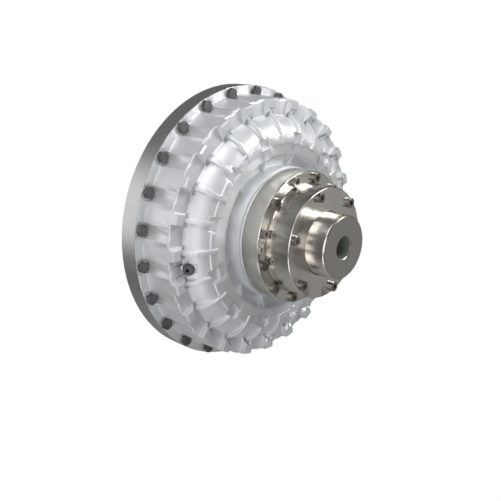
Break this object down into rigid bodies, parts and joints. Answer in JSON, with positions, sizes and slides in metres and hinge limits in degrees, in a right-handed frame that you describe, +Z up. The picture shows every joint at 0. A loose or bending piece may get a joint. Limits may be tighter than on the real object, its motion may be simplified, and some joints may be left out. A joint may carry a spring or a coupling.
{
  "type": "fluid coupling",
  "caption": "Fluid coupling with a bolted ribbed shell over two facing blade wheels, a keyed hollow input shaft and a pin-and-bush output hub with a plain pilot bore.",
  "frame": {"origin": "mouth of the input bore, on the shaft axis at the rear face of the hollow shaft", "axes": "+X along the shaft axis towards the output hub, +Z up, keyway at the top"},
  "size_m": [0.3693, 0.53, 0.53],
  "materials": {
    "cast_alloy": "pale cast light alloy, fine sand texture",
    "rim_alloy": "cast light alloy with a turned rim",
    "wheel_alloy": "plain cast light alloy",
    "nickel_steel": "turned steel with a warm nickel tone",
    "shaft_steel": "turned and ground steel",
    "carrier_steel": "turned steel",
    "bearing_steel": "ground and polished bearing steel",
    "cage_brass": "machined brass",
    "washer_brass": "soft sealing metal",
    "bolt_steel": "dark oxide steel",
    "cap_steel": "plated steel",
    "dark_screw": "black oxide steel",
    "plug_steel": "dark oxide steel",
    "pin_steel": "ground steel",
    "spring_steel": "phosphated spring steel",
    "seal_rubber": "oil-proof rubber",
    "bush_rubber": "hard rubber"
  },
  "bodies": {
    "rotor": {"hollow_shaft": "shaft_steel", "runner_wheel": "wheel_alloy", "runner_screws": "dark_screw", "shaft_circlip": "spring_steel", "rear_race_inner": "bearing_steel", "front_race_inner": "bearing_steel"},
    "housing": {"rear_race_outer": "bearing_steel", "front_race_outer": "bearing_steel", "housing_circlip": "spring_steel", "rear_cover": "rim_alloy", "rear_seal": "seal_rubber", "seal_carrier": "carrier_steel", "carrier_screws": "dark_screw", "front_shell": "cast_alloy", "impeller": "wheel_alloy", "rim_bolts": "bolt_steel", "rim_o_ring": "seal_rubber", "fusible_plug": "plug_steel", "filler_plug": "plug_steel", "plug_washers": "washer_brass", "drive_ring": "nickel_steel", "ring_screws": "cap_steel", "ring_o_ring": "seal_rubber", "coupling_pins": "pin_steel", "pin_washers": "pin_steel", "pin_nuts": "dark_screw"},
    "rear_ball_set": {"rear_balls": "bearing_steel", "rear_cage": "cage_brass"},
    "front_ball_set": {"front_balls": "bearing_steel", "front_cage": "cage_brass"},
    "hub": {"rubber_bushes": "bush_rubber", "output_hub": "nickel_steel", "drum": "nickel_steel", "cover_screws": "cap_steel"}
  },
  "joints": [
    {"name": "housing_spin", "type": "hinge", "parent": "rotor", "child": "housing", "pos_m": [0.085, 0, 0], "axis": [1, 0, 0], "continuous": true},
    {"name": "rear_balls_spin", "type": "hinge", "parent": "rotor", "child": "rear_ball_set", "pos_m": [0.067, 0, 0], "axis": [1, 0, 0], "continuous": true},
    {"name": "front_balls_spin", "type": "hinge", "parent": "rotor", "child": "front_ball_set", "pos_m": [0.216, 0, 0], "axis": [1, 0, 0], "continuous": true},
    {"name": "hub_twist", "type": "hinge", "parent": "housing", "child": "hub", "pos_m": [0.266, 0, 0], "axis": [1, 0, 0], "range_deg": [-2, 2], "stiffness_Nm_per_rad": 500, "deforming": ["rubber_bushes"]}
  ],
  "couplings": [
    {"joint": "rear_balls_spin", "follows": "housing_spin", "ratio": 0.5739},
    {"joint": "front_balls_spin", "follows": "housing_spin", "ratio": 0.5732}
  ]
}
